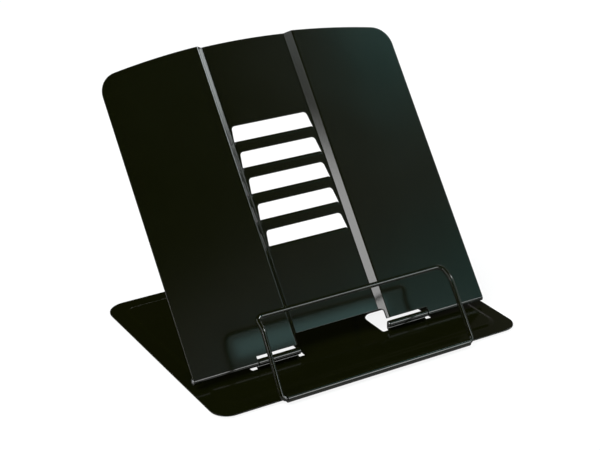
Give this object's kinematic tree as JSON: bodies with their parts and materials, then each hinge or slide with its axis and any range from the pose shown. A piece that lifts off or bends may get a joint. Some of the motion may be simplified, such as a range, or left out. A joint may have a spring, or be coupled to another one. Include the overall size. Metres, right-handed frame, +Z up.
{
  "type": "book stand",
  "caption": "Folding desk stand for a book: pressed steel base, hinged back plate with a slotted channel, hooking wire strut and a swinging wire page holder.",
  "frame": {"origin": "on the table, under the middle of the base and its rolled front seam", "axes": "+X to the right as a reader sees it, +Y to the rear, +Z up; the hinge axes all run along X"},
  "size_m": [0.21, 0.166, 0.1653],
  "materials": {
    "black_paint": "satin black powder coat",
    "pin_steel": "bright drawn steel",
    "pad_rubber": "matt black rubber"
  },
  "bodies": {
    "base": {"base_plate": "black_paint", "hinge_pin_left": "pin_steel", "hinge_pin_right": "pin_steel", "foot_pad_front_left": "pad_rubber", "foot_pad_front_right": "pad_rubber", "foot_pad_rear_left": "pad_rubber", "foot_pad_rear_right": "pad_rubber"},
    "plate": {"back_plate": "black_paint"},
    "strut": {"support_strut": "black_paint"},
    "holder": {"page_holder": "black_paint"}
  },
  "joints": [
    {"name": "plate_hinge", "type": "hinge", "parent": "base", "child": "plate", "pos_m": [0, -0.04097, 0.0068], "axis": [1, 0, 0], "range_deg": [-48.6, 18]},
    {"name": "strut_hinge", "type": "hinge", "parent": "base", "child": "strut", "pos_m": [0, 0.05752, 0.005], "axis": [1, 0, 0], "range_deg": [-97.2, 36]},
    {"name": "holder_hinge", "type": "hinge", "parent": "base", "child": "holder", "pos_m": [0, -0.08067, 0.00355], "axis": [1, 0, 0], "range_deg": [-18, 120]}
  ],
  "couplings": [
    {"joint": "strut_hinge", "follows": "plate_hinge", "ratio": 2}
  ]
}
